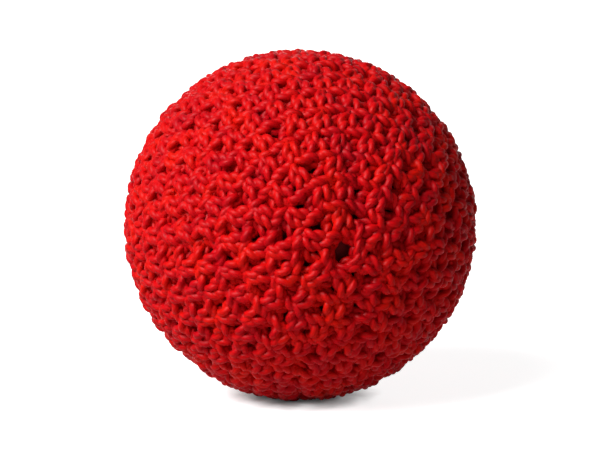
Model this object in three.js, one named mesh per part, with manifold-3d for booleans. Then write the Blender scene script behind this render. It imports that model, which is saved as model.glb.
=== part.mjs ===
// A crocheted play ball: a rubber core in a cover of single crochet rounds. Millimetres, +Z up.
// The rounds lie round the Y axis, from the start loop behind (+Y) to the closing loop in front (-Y).
import * as THREE from "three";
import { mergeVertices } from "three/addons/utils/BufferGeometryUtils.js";
import Module from "manifold-3d";

// Driving dimensions
const CORE_DIAMETER = 47.4; // solid rubber ball inside the cover
const COVER_THICKNESS = 3; // fabric, from the back of a stitch to its crown
const YARN_DIAMETER = 1.4; // cotton yarn
const STITCH_WIDTH = 4; // gauge, from stitch to stitch along a round
const ROUND_HEIGHT = 4; // gauge, from one round to the next
const CROWN_WIDTH = 2; // broad top of a stitch, across its round
const ROUND_RELIEF = 0.9; // fall from the crowns to the edges of a round
const STITCH_RELIEF = 0.7; // dip between two stitches of a round
const LOOP_RADIUS = 1; // drawn-tight loop at either end, to the middle of its yarn
const TAIL_LENGTH = 14; // yarn end, woven in behind the fabric
const REST_FLAT_DEPTH = 0.5; // pressed flat where the ball lies
const CLEARANCE = 0.3; // between pieces that lie against each other

// Facets
const CORE_DETAIL = 6; // splits of each icosahedron edge
const YARN_SIDES = 8;
const LOOP_STEPS = 16;
const TAIL_STEPS = 8;

// Sizes that follow from the driving dimensions
const coreRadius = CORE_DIAMETER / 2;
const coverInside = coreRadius + CLEARANCE;
const ballRadius = coverInside + COVER_THICKNESS;
const yarnRadius = YARN_DIAMETER / 2;
const yarnOnCore = coverInside + yarnRadius; // middle of a yarn that lies on the core
const loopReach = LOOP_RADIUS + yarnRadius + CLEARANCE; // from the pole to what lies round the loop
const firstEdge = Math.asin(loopReach / coverInside); // angles are measured from the start pole
const coverAngle = Math.PI - 2 * firstEdge;
const rounds = Math.round((coverAngle * ballRadius) / ROUND_HEIGHT);
const roundAngle = coverAngle / rounds;
const restHeight = ballRadius - REST_FLAT_DEPTH; // middle of the ball above the floor
const firstStitch = Math.PI; // turn of the underside, where every round starts

const yarn = new THREE.MeshStandardMaterial({ color: 0xb31217, roughness: 0.75, metalness: 0 });
const rubber = new THREE.MeshStandardMaterial({ color: 0x690e13, roughness: 0.9, metalness: 0 });

const wasm = await Module();
wasm.setup();

// A closed geometry as a solid that can be cut.
function solidOf(geometry) {
  const bare = geometry.clone().deleteAttribute("normal").deleteAttribute("uv");
  const merged = mergeVertices(bare);
  const triVerts = new Uint32Array(merged.index.array);
  const vertProperties = merged.attributes.position.array;
  return new wasm.Manifold(new wasm.Mesh({ numProp: 3, vertProperties, triVerts }));
}

// A cut solid as a geometry again.
function geometryOf(solid) {
  const { vertProperties, triVerts } = solid.getMesh();
  const geometry = new THREE.BufferGeometry();
  geometry.setAttribute("position", new THREE.BufferAttribute(vertProperties, 3));
  geometry.setIndex(new THREE.BufferAttribute(triVerts, 1));
  geometry.computeVertexNormals();
  return geometry;
}

// A point of the ball, from its distance to the middle, its angle from the start pole and its turn.
function ballPoint(radius, angle, turn) {
  return new THREE.Vector3().setFromSpherical(new THREE.Spherical(radius, angle, turn));
}

// A ring with the same number of section points at each turn, joined into one closed surface.
function ringGeometry(sections) {
  const sides = sections[0].length;
  const index = [];
  sections.forEach((_, ring) => {
    const here = ring * sides;
    const next = ((ring + 1) % sections.length) * sides;
    for (let side = 0; side < sides; side++) {
      const after = (side + 1) % sides;
      index.push(here + side, next + side, next + after);
      index.push(here + side, next + after, here + after);
    }
  });
  const geometry = new THREE.BufferGeometry().setFromPoints(sections.flat());
  return geometry.setIndex(index);
}

// One round of stitches: broad crowns, sloping edges, and a dip between each stitch and the next.
function roundGeometry(low, high) {
  const middle = (low + high) / 2;
  const halfCrown = CROWN_WIDTH / 2 / ballRadius;
  const around = 2 * Math.PI * ballRadius * Math.sin(middle);
  const stitches = Math.floor(around / STITCH_WIDTH);
  const sections = [];
  for (let half = 0; half < 2 * stitches; half++) {
    const turn = firstStitch + (half * Math.PI) / stitches;
    const crown = ballRadius - (half % 2) * STITCH_RELIEF;
    const edge = crown - ROUND_RELIEF;
    const gapInside = CLEARANCE / 2 / coverInside;
    const gapOutside = CLEARANCE / 2 / edge;
    sections.push([
      ballPoint(coverInside, low + gapInside, turn),
      ballPoint(coverInside, high - gapInside, turn),
      ballPoint(edge, high - gapOutside, turn),
      ballPoint(crown, middle + halfCrown, turn),
      ballPoint(crown, middle - halfCrown, turn),
      ballPoint(edge, low + gapOutside, turn),
    ]);
  }
  return ringGeometry(sections);
}

// A yarn's way over the core, along the line of first stitches, between two angles.
class YarnPath extends THREE.Curve {
  constructor(from, to) {
    super();
    this.from = from;
    this.to = to;
  }

  getPoint(share) {
    return ballPoint(yarnOnCore, THREE.MathUtils.lerp(this.from, this.to, share), firstStitch);
  }
}

// A round tube along such a way.
function tubeGeometry(radius, from, to) {
  const section = new THREE.Shape().absarc(0, 0, radius, 0, 2 * Math.PI);
  const extrudePath = new YarnPath(from, to);
  const curveSegments = YARN_SIDES;
  return new THREE.ExtrudeGeometry(section, { steps: TAIL_STEPS, curveSegments, extrudePath });
}

// What lies below the floor, seen from the middle of the ball.
function floorSolid() {
  const side = 2 * ballRadius;
  const block = new THREE.BoxGeometry(side, side, side);
  return solidOf(block.translate(0, 0, -restHeight - side / 2));
}

const ball = new THREE.Group();

function addPiece(name, geometry, material) {
  const mesh = new THREE.Mesh(geometry, material);
  mesh.name = name;
  ball.add(mesh);
  return mesh;
}

addPiece("core_ball", new THREE.IcosahedronGeometry(coreRadius, CORE_DETAIL), rubber);

// The loop that the first stitches are worked into, and the one that draws the last stitches shut.
for (const [name, side] of [["start_loop", 1], ["closing_loop", -1]]) {
  const ring = new THREE.TorusGeometry(LOOP_RADIUS, yarnRadius, YARN_SIDES, LOOP_STEPS);
  ring.rotateX(Math.PI / 2);
  addPiece(name, ring, yarn).position.y = side * yarnOnCore;
}

// Both yarn ends run from their loop under the rounds next to it, in a channel behind the fabric.
const tailStart = Math.asin(loopReach / yarnOnCore);
const tailEnd = tailStart + TAIL_LENGTH / yarnOnCore;
const channelEnd = tailEnd + CLEARANCE / yarnOnCore;
addPiece("start_tail", tubeGeometry(yarnRadius, tailStart, tailEnd), yarn);
addPiece("closing_tail", tubeGeometry(yarnRadius, Math.PI - tailEnd, Math.PI - tailStart), yarn);
const channelRadius = yarnRadius + CLEARANCE;
const startChannel = solidOf(tubeGeometry(channelRadius, 0, channelEnd));
const closingChannel = solidOf(tubeGeometry(channelRadius, Math.PI - channelEnd, Math.PI));
const cutAway = floorSolid().add(startChannel).add(closingChannel);

for (let round = 1; round <= rounds; round++) {
  const low = firstEdge + (round - 1) * roundAngle;
  const whole = solidOf(roundGeometry(low, low + roundAngle));
  const name = "round_" + String(round).padStart(2, "0");
  addPiece(name, geometryOf(whole.subtract(cutAway)), yarn);
}

ball.position.z = restHeight;

const crochetBall = new THREE.Group();
crochetBall.name = "crochet_ball";
crochetBall.add(ball);
export default crochetBall;
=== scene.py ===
"""A crocheted ball: each round of single crochet is one yarn, looped through the round before it."""
import math

import bmesh
import bpy
import numpy as np
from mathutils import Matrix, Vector


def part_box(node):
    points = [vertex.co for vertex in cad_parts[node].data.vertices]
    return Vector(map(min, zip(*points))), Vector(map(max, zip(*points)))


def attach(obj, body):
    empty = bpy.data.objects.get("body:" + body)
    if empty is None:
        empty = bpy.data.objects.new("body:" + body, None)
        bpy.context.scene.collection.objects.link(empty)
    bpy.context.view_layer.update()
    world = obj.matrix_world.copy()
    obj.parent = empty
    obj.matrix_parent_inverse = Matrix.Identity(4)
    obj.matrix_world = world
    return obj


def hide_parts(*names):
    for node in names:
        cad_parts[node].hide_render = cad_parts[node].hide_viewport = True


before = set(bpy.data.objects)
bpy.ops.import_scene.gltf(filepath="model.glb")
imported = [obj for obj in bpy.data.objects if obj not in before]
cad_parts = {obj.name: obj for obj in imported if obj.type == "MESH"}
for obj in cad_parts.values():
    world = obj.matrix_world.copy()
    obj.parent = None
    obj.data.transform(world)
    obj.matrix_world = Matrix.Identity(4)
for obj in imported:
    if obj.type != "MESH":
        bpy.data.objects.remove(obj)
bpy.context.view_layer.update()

MM = 0.001
FULL_TURN = 2 * math.pi

# Sizes of the ball, in metres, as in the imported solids
BALL_RADIUS = 27 * MM
COVER_INSIDE = 24 * MM
CORE_RADIUS = 23.7 * MM
CORE_SUBDIVISIONS = 6
LOOP_REACH = 2 * MM  # from the pole to the rounds beside it
TAIL_LENGTH = 14 * MM
STITCH_WIDTH = 4 * MM
UNDERSIDE = math.pi  # turn where the first round starts and both yarn ends lie

# Yarn
YARN_DIAMETER = 1.85 * MM
LOOP_YARN_DIAMETER = 1.25 * MM  # drawn tight
TAIL_YARN_DIAMETER = 0.85 * YARN_DIAMETER  # pressed between the core and the fabric
PLIES = 2
PLY_PITCH = 3.8 * MM  # length of one turn of the plies
PLY_GROOVE = 0.45  # depth between the plies, as a share of the yarn's radius
SECTION_POINTS = 16
STITCH_STEPS = 4  # samples of the yarn for each point of a stitch
LOOP_STEPS = 12  # and for each point of a loop
TAIL_POINTS = 40
PRESSED = 0.4 * MM  # height up to which the ball's weight flattens the yarn on the floor

# Fabric
HOLE_OFFSET = -0.5  # from a stitch to the hole that the next round goes through, in stitch widths
LEAN = 0.12  # of a stitch over its height, in stitch widths
SNAP = 0.5  # how far a stitch keeps to one hole of the round before
SHAKE = (0.05, 0.04, 0.09)  # hand-made unevenness of a stitch: along, up, out
POINT_SHAKE = 0.4  # share of it that each point of a stitch has for itself
SEED = 11

# The last round is drawn in to its pole, and a drawn-up line goes up beside the hole
DRAWN_SHUT = 0.45 * MM
SEAM_BESIDE = 2.4 * MM  # from the pole to the line
SEAM_ROUNDS = 7  # how many of the last rounds it crosses
SEAM_GAP = 0.08  # how far it parts the stitches to either side, in stitch widths
SEAM_REACH = 1.5  # how far from the line they still give way, in stitch widths
SEAM_DIP = 0.8  # how deep it sinks in the last round, as a share of the cover
SEAM_WIDTH = 0.45  # half the width of that dip, in stitch widths

# Red cotton: colours by the value of a noise
DYE = ((0.3, (0.46, 0.0008, 0.006)), (0.5, (0.57, 0.0015, 0.0035)), (0.7, (0.65, 0.005, 0.0015)))
DYE_SCALE = 260
FIBRE_SCALE = (1.2, 34, 1)  # streaks in a millimetre along the yarn, and once round it
FIBRE_DETAIL = 3.0
FIBRE_SHADE = ((0.25, (0.72, 0.70, 0.70)), (0.75, (1.0, 1.0, 1.0)))
FIBRE_ROUGHNESS = ((0.25, (0.50, 0.50, 0.50)), (0.75, (0.36, 0.36, 0.36)))
FIBRE_BUMP = 0.35
FIBRE_HEIGHT = 0.12 * MM
YARN_SPECULAR = 0.045
YARN_SHEEN = 0.02
SHEEN_TINT = (1, 0.2, 0.2, 1)

# Core rubber
RUBBER = ((0.3, (0.11, 0.003, 0.005)), (0.7, (0.17, 0.006, 0.008)))
RUBBER_SCALE = 900
RUBBER_DETAIL = 3.0
RUBBER_ROUGHNESS = 0.8
RUBBER_SPECULAR = 0.15

# Camera and picture
IMAGE_WIDTH = 600
OUTLINE_PX = 176.5  # radius of the ball in the picture
CAMERA_AZIMUTH = math.radians(-14.2)
CAMERA_ELEVATION = math.radians(9.2)
CAMERA_DISTANCE = 450 * MM
CLIP_START = 10 * MM
SENSOR = 36.0

# Light: a soft box at the upper left in front, a small one there that shows only in the yarn's gloss,
# a weaker one low behind, and an even fill. Ways from the ball are right, up and towards the camera.
FILL = 0.05
KEY = dict(way=(-1.15, 1.2, 0.95), distance=0.7, size=0.45, watts=8.4)
GLINT = dict(way=(-0.9, 0.9, 1.0), distance=0.7, size=0.1, watts=12.0, only_gloss=True)
REAR = dict(way=(0.0, 0.28, -1.0), distance=1.0, size=0.5, watts=5.0)

# Floor
FLOOR_SIZE = 6
PAPER = 0.66  # how much light it gives back
PAPER_WHITE = 0.85  # what the camera sees on top of that, beside the ball
LIT_FLOOR = 400 * MM  # from the ball to where that alone is white
PAINTED_SHADOW_REACH = 2.5 * MM  # reach of the painted contact shadow: the floor's glow darkens where the ball is this close above it

# One stitch, as points that its yarn goes by: along the round in stitch widths, up the round in round
# heights, and out through the cover, from 0 on the core to 1 at the face of the ball
STITCH = np.array([
    # Behind the fabric from the stitch before, and out through a hole of the round before
    (-0.62, 0.50, 0.10),
    (-0.44, 0.14, 0.10),
    (-0.10, -0.16, 0.15),
    (-0.06, -0.24, 0.50),
    # Up the left leg of the V, over behind its top, and down the right leg
    (-0.07, 0.00, 1.00),
    (-0.15, 0.26, 1.12),
    (-0.23, 0.48, 1.00),
    (-0.24, 0.64, 0.45),
    (0.00, 0.72, 0.15),
    (0.24, 0.64, 0.45),
    (0.23, 0.48, 1.00),
    (0.15, 0.26, 1.12),
    (0.07, 0.00, 1.00),
    # In through the same hole, and up behind the V
    (0.06, -0.24, 0.50),
    (0.14, -0.10, 0.10),
    (0.08, 0.30, 0.00),
    (-0.14, 0.62, 0.35),
    # The free front strand, as a bar along the round
    (0.00, 0.74, 0.95),
    (0.28, 0.77, 1.08),
    (0.60, 0.75, 0.85),
    (0.90, 0.74, 0.35),
    # The back strand, that the next round is worked into
    (0.85, 0.88, 0.00),
    (0.50, 0.95, 0.00),
    (0.15, 0.88, 0.00),
])

# The two loops, as points beside and above their pole, in millimetres, and out through the cover
CLOSING_LOOP = np.array([
    (2.6, 3.9, 0.70),
    (2.1, 2.7, 1.05),
    (1.8, 1.0, 1.05),
    (1.9, -0.5, 1.10),
    (1.2, -1.6, 1.10),
    (-0.3, -2.2, 0.95),
    (-1.6, -1.8, 0.30),
    (-1.7, 0.2, 0.00),
    (-0.6, 2.2, 0.00),
    (1.2, 4.0, 0.10),
])
START_LOOP = np.array([
    (1.6, 0.0, 0.60),
    (1.0, 1.2, 0.50),
    (-0.3, 1.6, 0.45),
    (-1.4, 0.8, 0.40),
    (-1.5, -0.5, 0.45),
    (-0.6, -1.4, 0.50),
    (0.8, -1.4, 0.60),
])

# What follows from the frame and the sizes. Angles are measured from the start pole.
rng = np.random.default_rng(SEED)
core_low, core_high = (np.array(corner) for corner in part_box("core_ball"))
centre = (core_low + core_high) / 2
round_names = sorted(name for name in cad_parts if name.startswith("round_"))
first_edge = math.asin(LOOP_REACH / COVER_INSIDE)
round_angle = (math.pi - 2 * first_edge) / len(round_names)
to_right = Vector((math.cos(CAMERA_AZIMUTH), math.sin(CAMERA_AZIMUTH), 0))
to_camera = Vector((
    math.sin(CAMERA_AZIMUTH) * math.cos(CAMERA_ELEVATION),
    -math.cos(CAMERA_AZIMUTH) * math.cos(CAMERA_ELEVATION),
    math.sin(CAMERA_ELEVATION),
))


def ball_points(radius, angle, turn):
    """Points of the ball, from their distance to its middle, angle from the start pole and turn."""
    across = radius * np.sin(angle)
    depth = radius * np.cos(angle)
    return centre + np.stack([across * np.sin(turn), depth, across * np.cos(turn)], axis=-1)


def cover_radius(out):
    """Distance from the ball's middle to the middle of a yarn, from its place through the cover."""
    return COVER_INSIDE + YARN_DIAMETER / 2 + out * (BALL_RADIUS - COVER_INSIDE - YARN_DIAMETER)


def stitches_in(number):
    """How many stitches a round has, the first round being 1."""
    middle = first_edge + (number - 0.5) * round_angle
    return math.floor(FULL_TURN * BALL_RADIUS * math.sin(middle) / STITCH_WIDTH)


def drawn_up(number, angle, turn, out, width):
    """A round's turns and depths, with its stitches parted and sunk along the drawn-up line."""
    depth = max(0.0, 1 - (len(round_names) - number) / SEAM_ROUNDS)
    seam = np.arctan2(SEAM_BESIDE, BALL_RADIUS * np.abs(math.pi - angle))
    off = (np.mod(turn - seam + math.pi, FULL_TURN) - math.pi) / width
    parted = depth * SEAM_GAP * width * np.sign(off) * np.exp(-np.abs(off) / SEAM_REACH)
    sunk = 1 - SEAM_DIP * depth * np.exp(-(off / SEAM_WIDTH) ** 2)
    return turn + parted, out * sunk


def round_points(number, start, holes_start, holes):
    """Points of the yarn of one round, whose stitches go through the holes of the round before."""
    count = stitches_in(number)
    width = FULL_TURN / count
    index = np.arange(count)
    hole = index * holes / count
    hole = hole + SNAP * (np.round(hole) - hole)
    base = holes_start + hole * FULL_TURN / holes
    top = start + index * width
    shake = POINT_SHAKE * rng.normal(size=(count, len(STITCH), 3)) + rng.normal(size=(count, 1, 3))
    along, up, out = np.moveaxis(STITCH + shake * SHAKE, -1, 0)
    share = np.clip(up, 0, 1)
    turn = base[:, None] * (1 - share) + top[:, None] * share + along * width
    angle = first_edge + (number - 1 + up) * round_angle
    if number == len(round_names):
        angle = angle + DRAWN_SHUT / BALL_RADIUS * share ** 2
    turn, out = drawn_up(number, angle, turn, out, width)
    return ball_points(cover_radius(out), angle, turn).reshape(-1, 3)


def closed_line(points, steps):
    """A smooth closed line along a ring of points, as a cubic B-spline."""
    t = (np.arange(steps) / steps)[None, :, None]
    weights = ((1 - t) ** 3, 3 * t ** 3 - 6 * t ** 2 + 4, -3 * t ** 3 + 3 * t ** 2 + 3 * t + 1, t ** 3)
    near = (np.roll(points, shift, axis=0)[:, None, :] for shift in (1, 0, -1, -2))
    return sum(w * p for w, p in zip(weights, near)).reshape(-1, 3) / 6


def carried_normals(path, closed):
    """The way and an untwisted normal at each point of a path, and the turn left over where it closes."""
    if closed:
        ways = np.roll(path, -1, axis=0) - np.roll(path, 1, axis=0)
    else:
        ways = np.gradient(path, axis=0)
    ways /= np.linalg.norm(ways, axis=1, keepdims=True)
    tangents = [Vector(way) for way in ways]
    normal = tangents[0].orthogonal().normalized()
    normals = [normal]
    for before, after in zip(tangents, tangents[1:] + tangents[:1]):
        normal = before.rotation_difference(after) @ normal
        normals.append(normal)
    left = 0.0
    if closed:
        side = tangents[0].cross(normals[0])
        left = math.atan2(normals[-1].dot(side), normals[-1].dot(normals[0]))
    return ways, np.array(normals[:-1]), left


def yarn_surface(path, diameter, closed):
    """Rings of points round a plied yarn, and the length of yarn before each ring and in all."""
    ways, normals, left = carried_normals(path, closed)
    sides = np.cross(ways, normals)
    stretches = np.linalg.norm(np.diff(path, axis=0, append=path[:1]), axis=1)
    lengths = np.concatenate([[0], np.cumsum(stretches)])
    turns = round(lengths[-1] / PLY_PITCH * PLIES) / PLIES
    twist = FULL_TURN * turns * lengths[:-1] / lengths[-1]
    untwist = -left * np.arange(len(path)) / len(path)
    around = FULL_TURN * np.arange(SECTION_POINTS) / SECTION_POINTS
    ply = np.abs(np.cos(PLIES / 2 * around))
    section = (1 - PLY_GROOVE * (1 - ply)) * diameter / 2
    angle = around + (twist + untwist)[:, None]
    out = np.cos(angle)[..., None] * normals[:, None] + np.sin(angle)[..., None] * sides[:, None]
    points = path[:, None] + out * section[:, None]
    height = points[..., 2]
    points[..., 2] = np.where(height < PRESSED, PRESSED * np.exp(height / PRESSED - 1), height)
    return points, lengths


def yarn_mesh(name, path, diameter, closed):
    """A plied yarn along a path, with its length in millimetres and its way round as coordinates."""
    points, lengths = yarn_surface(path, diameter, closed)
    count = len(path)
    ring, side = np.indices((count if closed else count - 1, SECTION_POINTS))
    next_ring = (ring + 1) % count
    next_side = (side + 1) % SECTION_POINTS
    corners = ((ring, side), (ring, next_side), (next_ring, next_side), (next_ring, side))
    quads = np.stack([r * SECTION_POINTS + s for r, s in corners], axis=-1)
    mesh = bpy.data.meshes.new(name)
    mesh.vertices.add(count * SECTION_POINTS)
    mesh.vertices.foreach_set("co", points.ravel())
    mesh.loops.add(quads.size)
    mesh.loops.foreach_set("vertex_index", quads.ravel().astype(np.int32))
    mesh.polygons.add(ring.size)
    mesh.polygons.foreach_set("loop_start", np.arange(0, quads.size, 4, dtype=np.int32))
    mesh.update(calc_edges=True)
    mesh.shade_smooth()
    before = lengths[ring] / MM
    after = lengths[ring + 1] / MM
    along = np.stack([before, before, after, after], axis=-1)
    around = np.stack([side, side + 1, side + 1, side], axis=-1) / SECTION_POINTS
    layer = mesh.uv_layers.new(name="Yarn")
    layer.uv.foreach_set("vector", np.stack([along, around], axis=-1).ravel().astype(np.float32))
    return mesh


def cap_ends(mesh):
    """Flat cut ends on a yarn that isn't a ring."""
    shape = bmesh.new()
    shape.from_mesh(mesh)
    bmesh.ops.holes_fill(shape, edges=shape.edges[:], sides=SECTION_POINTS)
    shape.to_mesh(mesh)
    shape.free()


def stand_for(piece, node, material):
    """A piece that rides with the ball, in its material, and stands for one of the solids."""
    piece.data.materials.append(material)
    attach(piece, "root")
    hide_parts(node)


def add_yarn(node, path, diameter, closed=True):
    """The yarn that stands for one of the solids."""
    name = "yarn_" + node
    mesh = yarn_mesh(name, path, diameter, closed)
    if not closed:
        cap_ends(mesh)
    piece = bpy.data.objects.new(name, mesh)
    bpy.context.collection.objects.link(piece)
    stand_for(piece, node, cotton)


def nodes_of(material):
    """A material's empty node tree, with its output."""
    material.use_nodes = True
    tree = material.node_tree
    tree.nodes.clear()
    return tree, tree.nodes.new("ShaderNodeOutputMaterial")


def noise(tree, vector, scale, detail=2.0):
    """A noise texture's value on some coordinates."""
    node = tree.nodes.new("ShaderNodeTexNoise")
    node.inputs["Scale"].default_value = scale
    node.inputs["Detail"].default_value = detail
    tree.links.new(vector, node.inputs["Vector"])
    return node.outputs["Fac"]


def ramp(tree, value, stops):
    """Colours that follow a value."""
    node = tree.nodes.new("ShaderNodeValToRGB")
    elements = node.color_ramp.elements
    for place, _ in stops[1:-1]:
        elements.new(place)
    for element, (place, colour) in zip(elements, stops):
        element.position = place
        element.color = (*colour, 1)
    tree.links.new(value, node.inputs["Fac"])
    return node.outputs["Color"]


def multiplied(tree, first, second):
    """Two colours multiplied."""
    node = tree.nodes.new("ShaderNodeMix")
    node.data_type = "RGBA"
    node.blend_type = "MULTIPLY"
    node.inputs["Factor"].default_value = 1
    tree.links.new(first, node.inputs["A"])
    tree.links.new(second, node.inputs["B"])
    return node.outputs["Result"]


def yarn_material():
    """Dyed cotton: reds that drift along the yarn, and fibres that run along it."""
    material = bpy.data.materials.new("red_cotton")
    tree, output = nodes_of(material)
    shader = tree.nodes.new("ShaderNodeBsdfPrincipled")
    place = tree.nodes.new("ShaderNodeTexCoord").outputs["Object"]
    yarn = tree.nodes.new("ShaderNodeUVMap")
    yarn.uv_map = "Yarn"
    fibres = tree.nodes.new("ShaderNodeMapping")
    fibres.inputs["Scale"].default_value = FIBRE_SCALE
    tree.links.new(yarn.outputs["UV"], fibres.inputs["Vector"])
    streaks = noise(tree, fibres.outputs["Vector"], 1.0, FIBRE_DETAIL)
    hue = ramp(tree, noise(tree, place, DYE_SCALE), DYE)
    shade = ramp(tree, streaks, FIBRE_SHADE)
    tree.links.new(multiplied(tree, hue, shade), shader.inputs["Base Color"])
    tree.links.new(ramp(tree, streaks, FIBRE_ROUGHNESS), shader.inputs["Roughness"])
    shader.inputs["Specular IOR Level"].default_value = YARN_SPECULAR
    shader.inputs["Sheen Weight"].default_value = YARN_SHEEN
    shader.inputs["Sheen Tint"].default_value = SHEEN_TINT
    bump = tree.nodes.new("ShaderNodeBump")
    bump.inputs["Strength"].default_value = FIBRE_BUMP
    bump.inputs["Distance"].default_value = FIBRE_HEIGHT
    tree.links.new(streaks, bump.inputs["Height"])
    tree.links.new(bump.outputs["Normal"], shader.inputs["Normal"])
    tree.links.new(shader.outputs["BSDF"], output.inputs["Surface"])
    return material


def rubber_material():
    """Dull dark red rubber."""
    material = bpy.data.materials.new("core_rubber")
    tree, output = nodes_of(material)
    shader = tree.nodes.new("ShaderNodeBsdfPrincipled")
    place = tree.nodes.new("ShaderNodeTexCoord").outputs["Object"]
    grain = noise(tree, place, RUBBER_SCALE, RUBBER_DETAIL)
    tree.links.new(ramp(tree, grain, RUBBER), shader.inputs["Base Color"])
    shader.inputs["Roughness"].default_value = RUBBER_ROUGHNESS
    shader.inputs["Specular IOR Level"].default_value = RUBBER_SPECULAR
    tree.links.new(shader.outputs["BSDF"], output.inputs["Surface"])
    return material


def picture_ray(tree):
    """1 for a ray that shows the surroundings: from the camera, a glossy reflection or through glass."""
    path = tree.nodes.new("ShaderNodeLightPath")
    value = path.outputs["Is Camera Ray"]
    for name in ("Is Glossy Ray", "Is Transmission Ray"):
        either = tree.nodes.new("ShaderNodeMath")
        either.operation = "MAXIMUM"
        tree.links.new(value, either.inputs[0])
        tree.links.new(path.outputs[name], either.inputs[1])
        value = either.outputs["Value"]
    return value


def paper_material():
    """Pale paper that shows as white, apart from the ball's shadow, which is partly cast by the lamps and
    partly painted: its glow darkens where the ball is close above it.
    """
    material = bpy.data.materials.new("floor_paper")
    tree, output = nodes_of(material)
    paint = tree.nodes.new("ShaderNodeBsdfDiffuse")
    paint.inputs["Color"].default_value = (PAPER, PAPER, PAPER, 1)
    away = tree.nodes.new("ShaderNodeVectorMath")
    away.operation = "LENGTH"
    tree.links.new(tree.nodes.new("ShaderNodeNewGeometry").outputs["Position"], away.inputs[0])
    whiter = tree.nodes.new("ShaderNodeMapRange")
    whiter.inputs["From Max"].default_value = LIT_FLOOR
    whiter.inputs["To Min"].default_value = PAPER_WHITE
    tree.links.new(away.outputs["Value"], whiter.inputs["Value"])
    # Painted contact shadow: ambient occlusion darkens the glow where the ball is close above the paper
    painted_contact_shadow = tree.nodes.new("ShaderNodeAmbientOcclusion")
    painted_contact_shadow.inputs["Distance"].default_value = PAINTED_SHADOW_REACH
    tree.links.new(whiter.outputs["Result"], painted_contact_shadow.inputs["Color"])
    glow = tree.nodes.new("ShaderNodeEmission")
    tree.links.new(painted_contact_shadow.outputs["Color"], glow.inputs["Color"])
    tree.links.new(picture_ray(tree), glow.inputs["Strength"])
    both = tree.nodes.new("ShaderNodeAddShader")
    tree.links.new(paint.outputs["BSDF"], both.inputs[0])
    tree.links.new(glow.outputs["Emission"], both.inputs[1])
    tree.links.new(both.outputs["Shader"], output.inputs["Surface"])
    return material


def add_soft_box(name, way, distance, size, watts, only_gloss=False):
    """A square light that faces the ball, for its gloss alone if so chosen."""
    light = bpy.data.objects.new(name, bpy.data.lights.new(name, "AREA"))
    bpy.context.collection.objects.link(light)
    light.data.size = size
    light.data.energy = watts
    light.visible_diffuse = not only_gloss
    right, up, near = way
    out = (to_right * right + Vector((0, 0, up)) + to_camera * near).normalized()
    light.location = Vector(centre) + out * distance
    light.rotation_euler = out.to_track_quat("Z", "Y").to_euler()


cotton = yarn_material()
rubber = rubber_material()

# Rounds, each from the stitch that follows on from the round before
start = UNDERSIDE
holes_start = UNDERSIDE
holes = stitches_in(1)
for number, node in enumerate(round_names, start=1):
    points = round_points(number, start, holes_start, holes)
    add_yarn(node, closed_line(points, STITCH_STEPS), YARN_DIAMETER)
    holes = stitches_in(number)
    holes_start = start + HOLE_OFFSET * FULL_TURN / holes
    if number < len(round_names):
        start = holes_start + LEAN * FULL_TURN / stitches_in(number + 1)

# Loops at the two ends. The closing loop is drawn long, up one side of the hole.
for node, pole, loop in (("start_loop", 0.0, START_LOOP), ("closing_loop", math.pi, CLOSING_LOOP)):
    side, up, out = loop.T
    angle = np.abs(pole - np.hypot(side, up) * MM / COVER_INSIDE)
    points = ball_points(cover_radius(out), angle, np.arctan2(side, up))
    add_yarn(node, closed_line(points, LOOP_STEPS), LOOP_YARN_DIAMETER)

# Yarn ends behind the fabric
tail_angle = first_edge + np.linspace(0, TAIL_LENGTH / COVER_INSIDE, TAIL_POINTS)
for node, angle in (("start_tail", tail_angle), ("closing_tail", math.pi - tail_angle)):
    add_yarn(node, ball_points(cover_radius(0), angle, UNDERSIDE), TAIL_YARN_DIAMETER, closed=False)

# Core
bpy.ops.mesh.primitive_ico_sphere_add(subdivisions=CORE_SUBDIVISIONS, radius=CORE_RADIUS, location=centre)
core = bpy.context.object
core.name = "rubber_core"
core.data.shade_smooth()
stand_for(core, "core_ball", rubber)

# Floor
bpy.ops.mesh.primitive_plane_add(size=FLOOR_SIZE, location=(0, 0, 0))
floor = bpy.context.object
floor.name = "floor"
floor.data.materials.append(paper_material())

# Camera, with the ball as large as in the photo
camera = bpy.data.objects.new("camera", bpy.data.cameras.new("camera"))
bpy.context.collection.objects.link(camera)
camera.location = Vector(centre) + to_camera * CAMERA_DISTANCE
camera.rotation_euler = to_camera.to_track_quat("Z", "Y").to_euler()
camera.data.sensor_width = SENSOR
seen = math.tan(math.asin(BALL_RADIUS / CAMERA_DISTANCE))
camera.data.lens = OUTLINE_PX / (IMAGE_WIDTH / 2) * (SENSOR / 2) / seen
camera.data.clip_start = CLIP_START
bpy.context.scene.camera = camera

# Light
world = bpy.data.worlds.new("studio")
bpy.context.scene.world = world
world.use_nodes = True
sky = world.node_tree
background = sky.nodes["Background"]
background.inputs["Color"].default_value = (1, 1, 1, 1)
white = sky.nodes.new("ShaderNodeMath")
white.operation = "MAXIMUM"
white.inputs[1].default_value = FILL
sky.links.new(picture_ray(sky), white.inputs[0])
sky.links.new(white.outputs["Value"], background.inputs["Strength"])
add_soft_box("key", **KEY)
add_soft_box("glint", **GLINT)
add_soft_box("rear", **REAR)

bpy.context.scene.view_settings.view_transform = "Standard"
